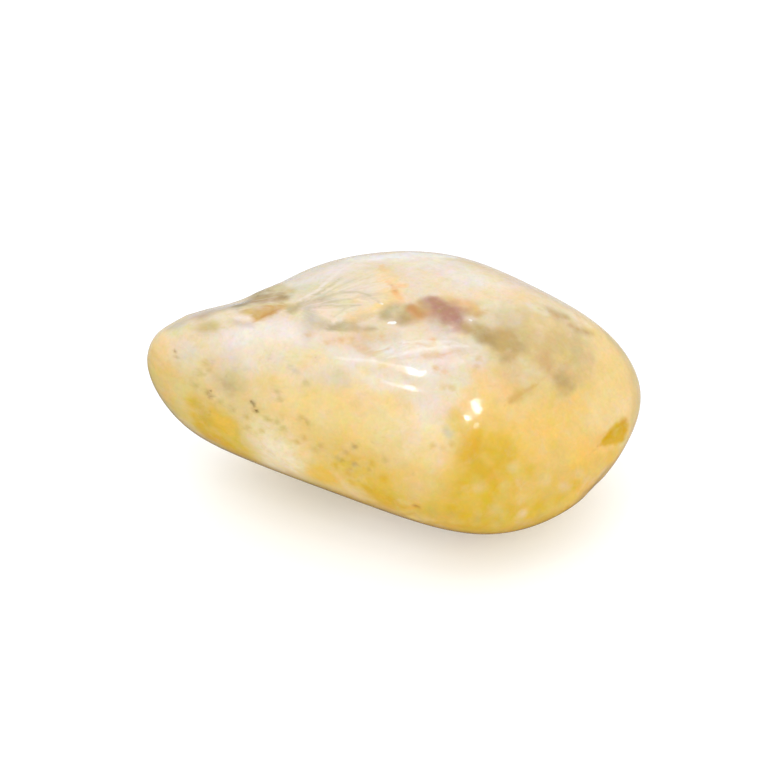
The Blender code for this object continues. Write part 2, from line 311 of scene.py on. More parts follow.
    "ochre dabs on the left": ("dabs", "ochre", 0.6, 0.6, 1.7,
        (248, 428), (297, 442), (304, 438), (320, 446), (315, 450), (247, 417), (262, 431)),
    "grey dabs in the milk": ("dabs", "lilac grey", 0.8, 0.5, 1.6,
        (234, 369), (290, 367), (244, 368), (315, 359), (270, 358), (296, 372), (212, 362)),
    "mauve dabs in the milk": ("dots", "mauve", 0.5, 0.44, 0.2,
        (275, 363), (316, 358), (336, 366), (225, 352), (198, 374)),
    "specks on the left": ("specks", "speck", 0.9, 4.6, 0.8, (180, 372), (240, 400), (300, 435)),
    "specks on the front": ("specks", "speck", 0.6, 3.0, 0.8, (330, 455), (400, 480)),
    "shade of the speck": ("dabs", "olive brown", 0.6, 0.6, 1.6, (252, 402), (256, 410)),
    "shade of the second speck": ("dabs", "umber", 0.7, 0.55, 1.6, (207, 392), (210, 396)),
    "upper half of a speck": ("dots", "speck", 0.85, 0.6, 0.24, (252, 402), (254, 404)),
    "lower half of a speck": ("dots", "speck", 1.0, 0.6, 0.2, (256, 408), (257, 411)),
    "second speck": ("dots", "speck", 0.75, 0.55, 0.24, (209, 395), (211, 391)),
    "speck on the tip": ("dots", "speck", 0.9, 0.6, 0.24, (175, 350)),
    "tail of that speck": ("dabs", "umber", 0.55, 0.42, 1.6, (175, 351), (177, 357)),
    # Painted highlights: glints of light that the fractures throw back, painted as white spots.
    "glint by the saddle": ("crisp", "glint", 0.95, 0.42, 0.16, (226, 316), (233, 315)),
    "glint by the cloud": ("crisp", "glint", 1.0, 0.46, 0.12, (389, 323), (395, 323)),
    "small glint": ("crisp", "glint", 0.9, 0.36, 0.14, (383, 304)),
    "glint by the plum": ("crisp", "glint", 0.85, 0.38, 0.16, (470, 320), (472, 320)),
}

# These marks are on the side that the photograph doesn't show. Their places are a bearing and
# a height, in degrees.
HIDDEN_MARKS = {
    "milk over the back": ("haze", "milk", 0.8, 5.0, 1.1, (150, 20), (110, 26), (62, 18)),
    "white in that milk": ("haze", "white haze", 0.6, 2.0, 1.3, (128, 26), (96, 24)),
    "gold low at the back": ("haze", "gold", 0.6, 4.0, 1.2, (140, -14), (100, -20), (60, -12)),
    "amber behind the broad end": ("haze", "amber", 0.6, 3.4, 1.2, (30, -4), (56, -8)),
    "clear window at the back": ("haze", "clear", 0.8, 3.0, 1.0, (88, 2), (72, 6)),
    "strands at the back": ("strands", "white haze", 0.8, 2.6, 0.7, (112, 4), (126, 16), (140, 26)),
    "grey in those strands": ("haze", "grey", 0.4, 1.6, 1.9, (106, 2), (122, 12), (136, 24)),
    "pale line at the back": ("crisp", "white haze", 0.7, 0.45, 0.26, (104, 4), (118, 18), (128, 30)),
    "rust at the back": ("haze", "rust", 0.55, 1.1, 1.8, (78, 23), (66, 33)),
    "orange at the back": ("haze", "orange", 0.55, 1.7, 1.9, (70, 31), (54, 38)),
    "light amber at the back": ("haze", "light amber", 0.6, 2.4, 1.8, (82, 30), (64, 22)),
    "brown trail at the back": ("crisp", "brown", 0.5, 0.5, 0.3, (60, 30), (54, 20), (50, 10)),
    "smoke at the back": ("haze", "smoke", 0.7, 1.8, 1.4, (44, 20), (34, 12)),
    "specks at the back": ("dots", "speck", 0.7, 0.5, 0.22,
        (118, -2), (98, 14), (84, -6), (96, 11), (132, 4), (130, 2)),
    "olive dabs at the back": ("dabs", "olive", 0.6, 0.9, 1.8,
        (112, -4), (92, 2), (76, -10), (140, -2), (150, 8), (100, 20)),
    "cream low at the back": ("haze", "light cream", 0.6, 2.2, 1.9, (124, -22), (112, -14)),
    "deep gold at the back": ("haze", "deep gold", 0.5, 1.8, 1.9, (84, -18), (66, -24)),
    "milk underneath": ("haze", "milk", 0.6, 5.0, 1.2, (-130, -46), (-60, -62), (20, -58)),
    "gold under the broad end": ("haze", "gold", 0.6, 4.4, 1.2, (-50, -34), (-10, -36), (30, -30)),
    "olive underneath": ("haze", "olive", 0.6, 2.6, 1.3, (190, -34), (216, -44)),
    "cream underneath": ("haze", "cream", 0.7, 2.6, 1.3, (-100, -36), (-76, -44)),
    "strands underneath": ("strands", "white haze", 0.35, 2.4, 0.9, (-120, -60), (-70, -70)),
    "rust underneath": ("haze", "rust", 0.5, 1.2, 1.9, (-52, -48), (-40, -54)),
    "specks underneath": ("dots", "speck", 0.6, 0.5, 0.22, (-96, -52), (-84, -62), (200, -50), (10, -46)),
}

# Dents that the drum hasn't worn away, and a shoulder that it has left standing, which has a
# depth below nought: the photograph's pixels that each runs through, and its width and depth in
# millimetres.
DENTS = {
    "chip at the wedge": (((604, 443), (622, 432)), 1.5, 0.10),
    "pit at the foot": (((416, 509), (414, 517)), 0.9, 0.14),
    "groove of the crack": (((508, 404), (544, 381)), 0.7, 0.03),
    "flat on the lower right": (((590, 494), (606, 474)), 2.4, 0.10),
    "dip of the saddle": (((176, 319), (204, 308.5), (236, 300.5)), 3.4, 0.18),
    "shoulder of the saddle": (((262, 293), (276, 287)), 2.8, -0.14),
}

# Where fine strands fan out: how the places are given, where they start, a place that they run
# towards, and how many there are to a radian.
FANS = {
    "healed fracture": ("photo", (296, 309), (345, 350), 8.0),
    "milk": ("photo", (325, 373), (440, 352), 9.0),
    "back": ("globe", (100, -6), (128, 18), 7.0),
    "underneath": ("globe", (-150, -50), (-70, -70), 7.0),
}
ALONG_A_STRAND = 0.3  # how much a strand's noise changes in a millimetre of its length
BETWEEN_FANS = 9.0  # how far apart the noise of two fans lies

# How a path is laid: its steps in degrees on the globe and in pixels in the photograph, and how
# far it sways from its route, in steps.
GLOBE_STEP = 5.0
PHOTO_STEP = 7.0
DENT_STEP = 4.0
SWAY = 0.15
OFF_GRID = 0.5  # keeps a noise off its own grid, where it is always nought

# Widths as shares of the full width: a wedge's where it starts, and any other mark's at its ends.
WEDGE_POINT = 0.1
MARK_END = 0.6

# The noise that the colours are painted with: its size in millimetres, its octaves and its seed.
PAINT_NOISES = {"wide": (4.0, 4, 1), "small": (1.1, 3, 2), "fine": (0.5, 2, 3)}
BETWEEN_SEEDS = 17.0

# How the paint's noise frays the edge of a mark, in half widths, for each way that it is laid.
FRAYS = {
    "haze": {"wide": 0.25, "small": 0.30, "fine": 0.15},
    "clouds": {"small": 0.30, "fine": 0.25},
    "plain": {"fine": 0.2},
    "wedge": {"fine": 0.2},
    "dabs": {"fine": 0.2},
    "strands": {"small": 0.3},
    "specks": {"small": 0.3},
}
# How strong a mark is from place to place: its mean, its changes and its least and greatest.
PATCH_MEAN = 0.92
PATCH_SHARES = {"small": 0.4, "fine": 0.25}
PATCH_RANGE = (0.3, 1.0)
FARTHEST_CRISP = -9.0  # a crisp mark's field where there is none
CRISP_RANGE = (-2.0, 2.0)

# The material's own noise: its scale to a millimetre, its detail and its roughness.
DRIFT_NOISE = (0.9, 2.0, 0.5)
CLOUD_NOISE = (0.75, 4.0, 0.6)
FLECK_NOISE = (2.6, 3.0, 0.6)
STRAND_NOISE = (1.0, 3.0, 0.65)
GLOSS_NOISE = (6.0, 2.0, 0.6)
MIDDLE = 0.5  # the mean of each noise
CLOUD_DRIFT = 0.6  # how far the drift moves the clouds, in millimetres
STRAND_DRIFT = 0.5  # how far it moves the strands' grain

# How the material shifts the hue: a noise, and how far it changes red, green and blue.
HUE_SHIFTS = (
    ((0.8, 3.0, 0.5), (0.20, 0.20, 0.55)),
    ((2.2, 2.0, 0.5), (0.18, 0.16, 0.40)),
    ((5.5, 1.0, 0.5), (0.16, 0.14, 0.26)),
)
CRISP_FRAY = 0.6  # how much the flecks fray a crisp mark, in edges
SPECK_SPACING = 0.85  # in millimetres
SPECK_STRENGTH = 0.4

# Painted shade: towards its outline the stone's colour is made deeper, standing in for light that has come
# through more of it there.
RIM_SHADE_COLOUR = (0.86, 0.74, 0.50)  # what a colour is multiplied by at the outline
RIM_START = 0.66  # how far the surface has turned from the view where this begins
RIM_HEIGHTS = (5.0, 9.0)  # in millimetres above the floor
RIM_SHARES = (0.60, 0.20)  # how deep it gets at those heights

GLOSSY_CLOUDS = (0.3, 0.7)  # the clouds between which the roughness changes
ROUGHNESS = (0.06, 0.11)
INNER_COLOUR = (0.98, 0.93, 0.60)  # what is left of light that passes through the stone
INNER_DENSITY = 90.0

# How the wear is laid: its inputs, the heights between which it sets in over the flat spot, the
# noise of its swells to a wave length, and the smallest pit as a share of the widest.
WEAR_INPUTS = {
    "Wave Height": "NodeSocketFloat",
    "Wave Length": "NodeSocketFloat",
    "Pit Spacing": "NodeSocketFloat",
    "Pit Width": "NodeSocketFloat",
    "Pit Depth": "NodeSocketFloat",
    "Seed": "NodeSocketInt",
}
WEAR_HEIGHTS = (0.05 * MM, 0.8 * MM)
SWELL_NOISE = (1.0, 2.0, 0.4)
SMALLEST_PIT = 0.25
PIT_SHARE = "pit_share"  # the name under which each strewn point keeps its share

# The floor, which is dimmer to the stone's gloss, and most so in front of the stone, so that the
# stone's lower edge stands out: from where to where along Y, and by how much there.
FLOOR_REACH = 3.0
FLOOR_LEVEL = -0.02 * MM
DIM_PLACES = (12 * MM, -2 * MM)
DIM_SHARES = (0.55, 1.0)
DIM_COLOUR = 0.4  # the dim floor's colour as a share of the floor's

SKY_HEIGHTS = (0.25, 0.95)  # where the sky's light starts to grow, and where it has grown

# The small lamps: where each hangs, seen from the stone's heart, its width and height in
# millimetres, and its power as a share of the studio's lamp power.
LAMPS = {
    "lamp over the crest": ((-0.018, -0.215, 0.976), (22, 40), 1.3),
    "lamp below the crest": ((-0.017, -0.446, 0.895), (14, 24), 1 / 2),
    "lamp on the corner": ((0.45, -0.43, 0.783), (26, 90), 3),
    "second lamp on the corner": ((0.41, -0.56, 0.718), (36, 30), 1.5),
    "low lamp on the corner": ((0.523, -0.566, 0.637), (30, 30), 1 / 3),
    "edge of the lamp over the crest": ((-0.056, -0.184, 0.981), (24, 12), 1 / 10),
    "edge of the lamp below the crest": ((-0.05, -0.464, 0.884), (22, 16), 1 / 12),
}
LAMP_DISTANCE = 500 * MM
LAMP_COLOUR = (0.86, 0.91, 1.0)


def display_colour(name, text, default):
    """A setting that holds a colour as a screen shows it."""
    return FloatVectorProperty(
        name=name,
        description=text,
        default=default,
        subtype="COLOR_GAMMA",
        size=3,
        min=0.0,
        max=1.0,
    )


def length(name, text, default):
    """A setting that holds a length."""
    return FloatProperty(
        name=name, description=text, default=default, subtype="DISTANCE", unit="LENGTH"
    )


class WearSettings(PropertyGroup):
    """How the drum has left the stone's surface."""

    smoothing: IntProperty(
        name="Smoothing", description="Rounds of subdivision", default=2, min=1, max=3
    )
    wave_height: length("Wave height", "How far the worn faces swell and dip", 0.06 * MM)
    wave_length: length("Wave length", "Size of the swells on the worn faces", 4.5 * MM)
    pit_spacing: length("Pit spacing", "Mean distance between two small pits", 3.4 * MM)
    pit_width: length("Pit width", "Width of the widest pit", 0.9 * MM)
    pit_depth: length("Pit depth", "Depth of the deepest pit", 0.012 * MM)
    seed: IntProperty(name="Seed", description="Another number gives other pits", default=7)


class FinishSettings(PropertyGroup):
    """The colours in the stone and how light passes through it."""

    straw: display_colour("Straw", "Body of the narrow end", (0.915, 0.830, 0.590))
    honey: display_colour("Honey", "Body of the broad end", (0.930, 0.795, 0.460))
    pale_honey: display_colour("Pale honey", "Lighter body", (0.950, 0.845, 0.580))
    milk: display_colour("Milk", "Milky haze", (0.905, 0.860, 0.795))
    white_haze: display_colour("White haze", "Densest haze", (0.950, 0.910, 0.865))
    cream: display_colour("Cream", "Pale yellow areas", (0.950, 0.880, 0.750))
    light_cream: display_colour("Light cream", "Brightest low down", (0.990, 0.930, 0.800))
    clear: display_colour("Clear", "Clearer quartz at the back", (0.905, 0.875, 0.820))
    pale_green: display_colour("Pale green", "Green cast in the clear", (0.835, 0.830, 0.735))
    veil: display_colour("Veil", "Ground of the healed fractures", (0.905, 0.850, 0.735))
    grey: display_colour("Grey", "Grey veils", (0.770, 0.730, 0.600))
    lilac_grey: display_colour("Lilac grey", "Hollows in the milk", (0.800, 0.745, 0.670))
    mist: display_colour("Mist", "Greyer areas in the milk", (0.830, 0.780, 0.670))
    lime: display_colour("Lime", "Green light near the tip", (0.855, 0.840, 0.610))
    olive: display_colour("Olive", "Olive shades", (0.790, 0.710, 0.430))
    olive_brown: display_colour("Olive brown", "Dark of the saddle", (0.570, 0.480, 0.280))
    dark_olive: display_colour("Dark olive", "Darkest sliver", (0.640, 0.590, 0.360))
    umber: display_colour("Umber", "Brown of the saddle", (0.665, 0.535, 0.290))
    ochre: display_colour("Ochre", "Wedge in the saddle", (0.815, 0.660, 0.310))
    grey_brown: display_colour("Grey brown", "Smoky clouds", (0.735, 0.665, 0.485))
    tan: display_colour("Tan", "Warm shade on the right", (0.820, 0.720, 0.475))
    smoke: display_colour("Smoke", "Darker clouds in the tan", (0.730, 0.620, 0.370))
    brown: display_colour("Brown", "Brown stains", (0.780, 0.620, 0.370))
    rust: display_colour("Rust", "Iron stains", (0.760, 0.550, 0.280))
    orange: display_colour("Orange", "Bright iron stains", (0.955, 0.745, 0.460))
    light_amber: display_colour("Light amber", "Yellow round the stains", (0.965, 0.835, 0.565))
    amber: display_colour("Amber", "Warm glow", (0.965, 0.795, 0.385))
    plum: display_colour("Plum", "Plum inclusion", (0.690, 0.480, 0.400))
    mauve: display_colour("Mauve", "Edge of the plum", (0.720, 0.560, 0.500))
    peach: display_colour("Peach", "Peach wisps", (0.880, 0.720, 0.540))
    gold: display_colour("Gold", "Gold patches", (0.885, 0.742, 0.125))
    soft_gold: display_colour("Soft gold", "Lower body", (0.915, 0.780, 0.365))
    deep_gold: display_colour("Deep gold", "Darkest gold", (0.870, 0.690, 0.000))
    speck: display_colour("Speck", "Small dark specks", (0.560, 0.450, 0.290))
    # Glint is the white of the painted highlights and of the painted reflection on the top rim; a few fine
    # lines use it too.
    glint: display_colour("Glint", "Light thrown back by fractures", (0.995, 0.995, 0.985))


class StudioSettings(PropertyGroup):
    """Where the camera stands and how the light falls."""

    bearing: FloatProperty(
        name="Bearing",
        description="Where the camera stands round the stone, from +X towards +Y",
        default=math.radians(VIEW_BEARING),
        subtype="ANGLE",
    )
    height: FloatProperty(
        name="Height",
        description="The camera's angle above the floor",
        default=math.radians(VIEW_HEIGHT),
        subtype="ANGLE",
    )
    distance: length("Distance", "From the camera to where it looks", VIEW_DISTANCE)
    aim: FloatVectorProperty(
        name="Aim",
        description="Where the camera looks",
        default=VIEW_AIM,
        subtype="TRANSLATION",
        unit="LENGTH",
        size=3,
    )
    lens: FloatProperty(name="Lens", description="Focal length", default=VIEW_LENS, unit="CAMERA")
    floor_colour: display_colour("Floor", "Colour of the floor", (0.90, 0.90, 0.90))
    floor_glow: FloatProperty(name="Floor glow", description="How lit up the floor is", default=0.3)
    horizon: FloatProperty(name="Horizon", description="Light from low all round", default=0.88)
    overhead: FloatProperty(name="Overhead", description="Light from straight above", default=1.46)
    lamps: FloatProperty(name="Lamps", description="Power of each small lamp", default=0.06)


def linear(colour):
    """The light values of a colour as a screen shows it."""
    dark, slope, offset, power = 0.04045, 12.92, 0.055, 2.4
    return [c / slope if c <= dark else ((c + offset) / (1 + offset)) ** power for c in colour]


def rgba(colour):
    """A colour as a shader socket takes it."""
    return (*linear(colour), 1.0)


def shade(settings, name):
    """A named colour of the finish, as light values."""
    return np.array(linear(getattr(settings, name.replace(" ", "_"))))


def direction(bearing, height):
    """The unit vector that looks along a bearing and a height, both in degrees."""
    turn, tilt = math.radians(bearing), math.radians(height)
    level = math.cos(tilt)
    return Vector((math.cos(turn) * level, math.sin(turn) * level, math.sin(tilt)))


def stone_surface():
    """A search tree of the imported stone, which finds places on its surface."""
    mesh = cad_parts["stone"].data
    points = [v.co for v in mesh.vertices]
    return BVHTree.FromPolygons(points, [p.vertices for p in mesh.polygons])


def place_on(surface, bearing, height):
    """The surface point that lies in a direction from the heart."""
    point = surface.ray_cast(HEART, direction(bearing, height))[0]
    if point is None:
        raise RuntimeError(f"no place on the stone at {bearing}, {height}")
    return point


def place_seen(surface, x, y):
    """The surface point that the photograph shows at a pixel, or the one nearest at its outline."""
    back = direction(VIEW_BEARING, VIEW_HEIGHT)
    right = Vector((0, 0, 1)).cross(back).normalized()
    up = back.cross(right)
    focal = VIEW_LENS / SENSOR * PHOTO_SIZE
    for pull in range(PULLS):
        across = x + (PHOTO_MIDDLE[0] - x) * pull * PULL - PHOTO_SIZE / 2
        down = y + (PHOTO_MIDDLE[1] - y) * pull * PULL - PHOTO_SIZE / 2
        ray = right * across - up * down - back * focal
        point = surface.ray_cast(Vector(VIEW_AIM) + back * VIEW_DISTANCE, ray)[0]
        if point is not None:
            return point
    raise RuntimeError(f"the photograph shows no stone at {x}, {y}")


PLACES = {"photo": place_seen, "globe": place_on}


def new_object(name, data):
    """An object in the scene that holds some data."""
    made = bpy.data.objects.new(name, data)
    bpy.context.scene.collection.objects.link(made)
    return made


# Shader nodes


def shader_group(name, inputs, outputs):
    """An empty node group with its sockets, its input node and its output node."""
    group = bpy.data.node_groups.new(name, "ShaderNodeTree")
    for title, kind in inputs.items():
        group.interface.new_socket(title, in_out="INPUT", socket_type=kind)
    for title, kind in outputs.items():
        group.interface.new_socket(title, in_out="OUTPUT", socket_type=kind)
    return group, group.nodes.new("NodeGroupInput"), group.nodes.new("NodeGroupOutput")


def wire(tree, source, target):
    """Joins an output to an input, or sets the input to a plain value."""
    if isinstance(source, bpy.types.NodeSocket):
        tree.links.new(source, target)
    else:
        target.default_value = source


def maths(tree, operation, *values):
    """A sum, product or the like of single values."""
    node = tree.nodes.new("ShaderNodeMath")
    node.operation = operation
    for socket, value in zip(node.inputs, values):
        wire(tree, value, socket)
    return node.outputs[0]


def vectors(tree, operation, *values):
    """A sum, product or the like of vectors or colours, or a vector's length."""
    node = tree.nodes.new("ShaderNodeVectorMath")
    node.operation = operation
    for socket, value in zip(node.inputs, values):
        wire(tree, value, socket)
    return node.outputs["Value" if operation == "LENGTH" else "Vector"]


def scaled(tree, vector, factor):
    """A vector made longer or shorter."""
    longer = vectors(tree, "SCALE", vector)
    wire(tree, factor, longer.node.inputs["Scale"])
    return longer


def coordinate(tree, vector, axis):
    """One coordinate of a vector: 0 for X, 1 for Y or 2 for Z."""
    parts = tree.nodes.new("ShaderNodeSeparateXYZ")
    wire(tree, vector, parts.inputs[0])
    return parts.outputs[axis]


def between(tree, value, low, high, to_low=0.0, to_high=1.0):
    """A smooth step from to_low at low to to_high at high."""
    node = tree.nodes.new("ShaderNodeMapRange")
    node.interpolation_type = "SMOOTHSTEP"
    for title, setting in (
        ("Value", value),
        ("From Min", low),
        ("From Max", high),
        ("To Min", to_low),
        ("To Max", to_high),
    ):
        wire(tree, setting, node.inputs[title])
    return node.outputs["Result"]


def noise_at(tree, position, scale, detail, roughness, output="Fac"):
    """The value or the colour of a noise at a position."""
    node = tree.nodes.new("ShaderNodeTexNoise")
    wire(tree, position, node.inputs["Vector"])
    node.inputs["Scale"].default_value = scale
    node.inputs["Detail"].default_value = detail
    node.inputs["Roughness"].default_value = roughness
    return node.outputs[output]


def blend(tree, share, under, over):
    """One colour over another."""
    node = tree.nodes.new("ShaderNodeMix")
    node.data_type = "RGBA"
    wire(tree, share, node.inputs[0])
    wire(tree, under, node.inputs[6])
    wire(tree, over, node.inputs[7])
    return node.outputs[2]


def specks_group():
    """Small scattered specks: one cell in three holds one, and their sizes differ."""
    group, given, made = shader_group(
        "Specks",
        {"Position": "NodeSocketVector", "Spacing": "NodeSocketFloat"},
        {"Mask": "NodeSocketFloat"},
    )
    cells = group.nodes.new("ShaderNodeTexVoronoi")
    cells.feature = "F1"
    wire(group, given.outputs["Position"], cells.inputs["Vector"])
    wire(group, maths(group, "DIVIDE", 1.0, given.outputs["Spacing"]), cells.inputs["Scale"])
    parts = group.nodes.new("ShaderNodeSeparateColor")
    wire(group, cells.outputs["Color"], parts.inputs[0])
    empty, smallest, growth, core = 0.62, 0.10, 0.20, 0.02
    chosen = maths(group, "GREATER_THAN", parts.outputs[0], empty)
    reach = maths(group, "MULTIPLY_ADD", parts.outputs[1], growth, smallest)
    dot = between(group, cells.outputs["Distance"], reach, core)
    wire(group, maths(group, "MULTIPLY", dot, chosen), made.inputs["Mask"])
    return group


def attribute(tree, name, output):
    """What is painted on the stone's points under a name."""
    node = tree.nodes.new("ShaderNodeAttribute")
    node.attribute_name = name
    return node.outputs[output]


def centred_noise(tree, position, kind):
    """A noise of three values, each of which lies about nought."""
    return vectors(tree, "SUBTRACT", noise_at(tree, position, *kind, "Color"), (MIDDLE,) * 3)


def clouded(tree, settings, colour, drifted, clouds, flecks):
    """A colour with clouds and flecks over it, and with a hue that shifts from place to place."""
    for patches, full, most, over in (
        (clouds, 0.75, 0.20, settings.milk),
        (clouds, 0.25, 0.20, settings.gold),
        (flecks, 0.25, 0.16, settings.olive),
    ):
        share = between(tree, patches, MIDDLE, full, 0.0, most)
        colour = blend(tree, share, colour, rgba(over))
    for kind, change in HUE_SHIFTS:
        hue = vectors(tree, "MULTIPLY_ADD", centred_noise(tree, drifted, kind), change, (1.0,) * 3)
        colour = vectors(tree, "MULTIPLY", colour, hue)
    return colour


def stranded(tree, settings, colour, drift):
    """A colour with fine strands over it, pale ones and grey ones, along the painted grain."""
    moved = vectors(tree, "MULTIPLY", drift, (STRAND_DRIFT,) * 3)
    grain = vectors(tree, "ADD", attribute(tree, "grain", "Vector"), moved)
    strands = noise_at(tree, grain, *STRAND_NOISE)
    painted = attribute(tree, "stranded", "Fac")
    for full, most, over in ((0.66, 0.80, settings.white_haze), (0.36, 0.75, settings.grey)):
        share = between(tree, strands, MIDDLE, full, 0.0, most)
        colour = blend(tree, maths(tree, "MULTIPLY", share, painted), colour, rgba(over))
    return colour


def specked(tree, settings, colour, drifted):
    """A colour with faint specks over it, where they are painted."""
    specks = tree.nodes.new("ShaderNodeGroup")
    specks.node_tree = specks_group()
    wire(tree, drifted, specks.inputs["Position"])
    wire(tree, SPECK_SPACING, specks.inputs["Spacing"])
    faint = maths(tree, "MULTIPLY", specks.outputs["Mask"], attribute(tree, "speckled", "Fac"))
    return blend(tree, maths(tree, "MULTIPLY", faint, SPECK_STRENGTH), colour, rgba(settings.speck))


def crisply_marked(tree, colour, flecks):
    """A colour with the crisp marks over it, painted glints among them, whose edges the flecks fray a little.
    """
    frayed = maths(tree, "MULTIPLY_ADD", flecks, CRISP_FRAY, attribute(tree, "crisp", "Fac"))
    edge = CRISP_FRAY * MIDDLE
    strength = attribute(tree, "crisp_tint", "Alpha")
    inside = maths(tree, "MULTIPLY", between(tree, frayed, edge, edge + 1), strength)
    return blend(tree, inside, colour, attribute(tree, "crisp_tint", "Color"))


def painted_rim_shade(tree, colour, position):
    """A colour with painted shade: deeper towards the stone's outline, and most so low down."""
    rim = tree.nodes.new("ShaderNodeLayerWeight")
    rim.inputs["Blend"].default_value = 0.5
    most = between(tree, coordinate(tree, position, 2), *RIM_HEIGHTS, *RIM_SHARES)
    share = between(tree, rim.outputs["Facing"], RIM_START, 1.0, 0.0, most)
    return blend(tree, share, colour, vectors(tree, "MULTIPLY", colour, linear(RIM_SHADE_COLOUR)))


def make_finish(settings):
    """The stone's material: its painted colours, clouded, stranded and specked more finely."""
    finish = bpy.data.materials.new(FINISH_NAME)
    finish.use_nodes = True
    tree = finish.node_tree
    shader = tree.nodes["Principled BSDF"]

    where = tree.nodes.new("ShaderNodeTexCoord").outputs["Object"]
    position = vectors(tree, "MULTIPLY", where, (1 / MM,) * 3)
    drift = centred_noise(tree, position, DRIFT_NOISE)
    drifted = vectors(tree, "ADD", position, vectors(tree, "MULTIPLY", drift, (CLOUD_DRIFT,) * 3))
    clouds = noise_at(tree, drifted, *CLOUD_NOISE)
    flecks = noise_at(tree, drifted, *FLECK_NOISE)

    colour = clouded(tree, settings, attribute(tree, "tint", "Color"), drifted, clouds, flecks)
    colour = stranded(tree, settings, colour, drift)
    colour = specked(tree, settings, colour, drifted)
    colour = crisply_marked(tree, colour, flecks)
    # Painted shade: deeper towards the outline, most so low down.
    wire(tree, painted_rim_shade(tree, colour, position), shader.inputs["Base Color"])

    wire(tree, between(tree, clouds, *GLOSSY_CLOUDS, *ROUGHNESS), shader.inputs["Roughness"])
    bump = tree.nodes.new("ShaderNodeBump")
    bump.inputs["Strength"].default_value = 0.05
    bump.inputs["Distance"].default_value = 0.02 * MM
    wire(tree, noise_at(tree, position, *GLOSS_NOISE), bump.inputs["Height"])
    wire(tree, bump.outputs[0], shader.inputs["Normal"])

    for title, value in {
        "Metallic": 0.0,
        "IOR": 1.54,
        "Transmission Weight": 0.25,
        "Subsurface Weight": 0.6,
        "Subsurface Radius": (1.0, 0.95, 0.6),
        "Subsurface Scale": MM,
    }.items():
        shader.inputs[title].default_value = value
    absorb = tree.nodes.new("ShaderNodeVolumeAbsorption")
    absorb.inputs["Color"].default_value = rgba(INNER_COLOUR)
    absorb.inputs["Density"].default_value = INNER_DENSITY
    wire(tree, absorb.outputs[0], tree.nodes["Material Output"].inputs["Volume"])
    return finish


# The colours painted on the stone


def smooth_step(values, low, high):
    """A smooth step from 0 at low to 1 at high."""
    share = np.clip((values - low) / (high - low), 0.0, 1.0)
    return share * share * (3 - 2 * share)


def clouds_at(points, size, octaves, seed):
    """Soft noise from about -1 to 1 at each point, its clouds of about this size."""
    away = Vector((seed * BETWEEN_SEEDS, 0.0, 0.0))
    fading, finer = 1.0, 2.0
    return np.array([noise.fractal(Vector(p) / size + away, fading, finer, octaves) for p in points])


def path_on(surface, place, route, step):
    """Points on the surface along a route, which sways a little between its corners."""
    corners = [Vector(corner) for corner in route]
    path = [place(surface, *corners[0])]
    for start, end in zip(corners, corners[1:]):
        steps = max(1, round((end - start).length / step))
        for i in range(1, steps + 1):
            at = start.lerp(end, i / steps)
            sway = noise.noise(Vector((*(at / step), OFF_GRID))) * SWAY * step
            path.append(place(surface, at.x + sway, at.y - sway))
    return np.array(path if len(path) > 1 else path * 2)


def nearness(points, path, half_widths):
    """How near points lie to a path: 1 on it, 0 half its width away, and less beyond."""
    nearest, shortest = np.full(len(points), -np.inf), 1e-12
    for start, end, first, last in zip(path, path[1:], half_widths, half_widths[1:]):
        run = end - start
        share = np.clip((points - start) @ run / max(run @ run, shortest), 0.0, 1.0)
        apart = np.linalg.norm(points - start - share[:, None] * run, axis=1)
        nearest = np.maximum(nearest, 1 - apart / (first + (last - first) * share))
    return nearest


def fan_grain(points, surface):
    """Coordinates that follow the strands: across them in the first, along them in the second."""
    grain, nearest = np.zeros((len(points), 3)), np.full(len(points), np.inf)
    for number, (place, origin, towards, lines) in enumerate(FANS.values()):
        origin = np.array(PLACES[place](surface, *origin))
        ahead = np.array(PLACES[place](surface, *towards)) - origin
        outward = origin - np.array(HEART)
        side = np.cross(outward, ahead)
        side /= np.linalg.norm(side)
        ahead /= np.linalg.norm(ahead)
        away = points - origin
        reach = np.linalg.norm(away, axis=1)
        turn = np.arctan2(away @ side, away @ ahead)
        apart = np.full(len(points), number * BETWEEN_FANS)
        own = np.column_stack([turn * lines, reach / MM * ALONG_A_STRAND, apart])
        closer = reach < nearest
        grain[closer], nearest[closer] = own[closer], reach[closer]
    return grain


def quartz_colour(points, noises, settings):
    """Straw at the narrow end, honey at the broad end, milk on the top, and gold low down, which is partly
    painted shade.
    """
    along, high = points[:, 0] / MM, points[:, 2] / MM
    wide, small = noises["wide"], noises["small"]
    tint = np.tile(shade(settings, "straw"), (len(points), 1))
    # Each colour grows between two places in millimetres, or between two values of a noise.
    for share, colour in (
        (smooth_step(along + 3 * wide, -8, 6), "honey"),
        (smooth_step(wide, 0.0, 0.6) * 0.4, "cream"),
        (smooth_step(high + 2 * wide, 10.5, 13.5) * 0.7, "milk"),
        # Gold low down: partly the quartz's colour, partly painted shade.
        (smooth_step(high + 2 * wide, 6.0, 1.0) * 0.8, "soft gold"),
        (smooth_step(small, 0.1, 0.6) * 0.2, "cream"),
        (smooth_step(small, -0.1, -0.6) * 0.2, "soft gold"),
    ):
        tint = tint * (1 - share[:, None]) + shade(settings, colour) * share[:, None]
    return tint


def mixed(noises, shares):
    """Noises added up, each by its share."""
    return sum(share * noises[name] for name, share in shares.items())


def mark_paths(surface, place, step, laid, route):
    """A mark's paths: one through all its places, or for dabs and dots one at each."""
    routes = [[dab] for dab in route] if laid in ("dabs", "dots") else [route]
    return [path_on(surface, place, each, step) for each in routes]


